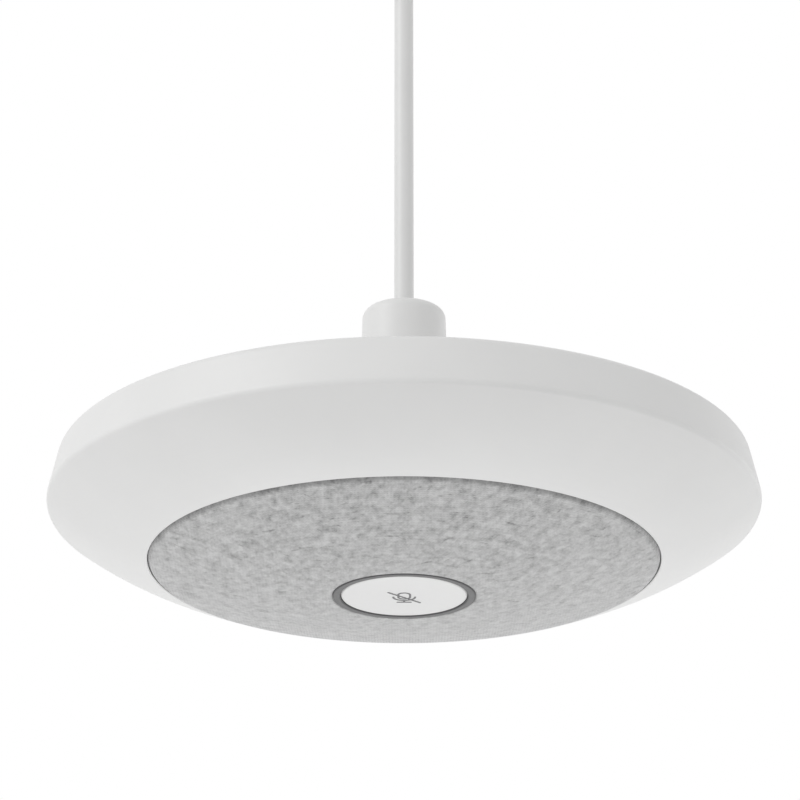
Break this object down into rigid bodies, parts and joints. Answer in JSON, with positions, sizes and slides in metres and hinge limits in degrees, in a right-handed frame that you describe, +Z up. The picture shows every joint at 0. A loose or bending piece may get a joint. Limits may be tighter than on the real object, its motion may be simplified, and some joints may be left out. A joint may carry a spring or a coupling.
{
  "type": "pendant conference speakerphone",
  "caption": "Saucer-shaped ceiling pendant speakerphone on a taut data cable: domed fabric face, central mute button in a light ring, twist-off lower shell.",
  "frame": {"origin": "centre of the two ceiling screw slots, on the ceiling strap's upper face", "axes": "+Z up into the ceiling, along the cable; +X along the line of the two slots"},
  "size_m": [0.1416, 0.1416, 0.1775],
  "materials": {
    "shell_white": "fine satin texture, white",
    "button_white": "smooth satin, white",
    "cable_white": "smooth jacket, white",
    "fabric_melange": "woven melange, grey",
    "ring_grey": "smoked diffuser, unlit",
    "trim_dark": "moulded, dark grey",
    "grille_grey": "moulded",
    "steel": "zinc plated",
    "inner_white": "moulded",
    "dark_plastic": "moulded",
    "dark_rubber": "moulded",
    "silicone": "moulded",
    "lamp_clear": "clear lens",
    "board_green": "solder mask",
    "polyimide": "film",
    "gold": "gold plated",
    "copper": "enamelled wire",
    "paper_cone": "treated paper"
  },
  "bodies": {
    "unit": {"ceiling_strap": "steel", "link_socket": "dark_plastic", "ceiling_cover": "shell_white", "cover_screws": "steel", "gland_body": "shell_white", "gland_nut": "steel", "gland_collet": "inner_white", "ceiling_plug": "dark_plastic", "cable": "cable_white", "hub_collar": "shell_white", "hub_collet": "inner_white", "upper_shell": "shell_white", "carrier_plate": "steel", "carrier_screws": "steel", "locating_pins": "steel", "pod_plug": "dark_plastic", "pod_base": "inner_white", "foot_ring": "dark_rubber", "pod_screws": "steel", "grille": "grille_grey", "fabric_cover": "fabric_melange", "face_trim": "trim_dark", "chassis": "dark_plastic", "light_ring": "ring_grey", "return_pad": "silicone", "button_board": "board_green", "button_board_screws": "steel", "indicator_leds": "lamp_clear", "tact_switch": "steel", "ribbon_cable": "polyimide", "main_board": "board_green", "main_board_screws": "steel", "processor": "dark_plastic", "shield_can": "steel", "pod_socket": "dark_plastic", "contact_pins": "gold", "mic_boots": "dark_rubber", "mic_capsules": "steel", "driver_baskets": "dark_plastic", "driver_yokes": "steel", "driver_magnets": "steel", "driver_gaskets": "dark_rubber", "left_surround": "dark_rubber", "right_surround": "dark_rubber"},
    "lower_shell": {"lower_shell": "shell_white"},
    "mute_button": {"mute_button": "button_white", "switch_plunger": "dark_plastic"},
    "left_cone": {"left_cone": "paper_cone", "left_coil": "copper", "left_dust_cap": "paper_cone"},
    "right_cone": {"right_cone": "paper_cone", "right_coil": "copper", "right_dust_cap": "paper_cone"}
  },
  "joints": [
    {"name": "lower_shell_twist", "type": "hinge", "parent": "unit", "child": "lower_shell", "pos_m": [0, 0, 0], "axis": [0, 0, 1], "range_deg": [0, 24]},
    {"name": "mute_press", "type": "slide", "parent": "unit", "child": "mute_button", "axis": [0, 0, 1], "range_m": [0, 0.0005], "stiffness_N_per_m": 2500, "springref_m": -0.0002, "deforming": ["return_pad"]},
    {"name": "left_cone_move", "type": "slide", "parent": "unit", "child": "left_cone", "axis": [0, 0, 1], "range_m": [-0.0008, 0.0008], "stiffness_N_per_m": 1500, "deforming": ["left_surround"]},
    {"name": "right_cone_move", "type": "slide", "parent": "unit", "child": "right_cone", "axis": [0, 0, 1], "range_m": [-0.0008, 0.0008], "stiffness_N_per_m": 1500, "deforming": ["right_surround"]}
  ]
}
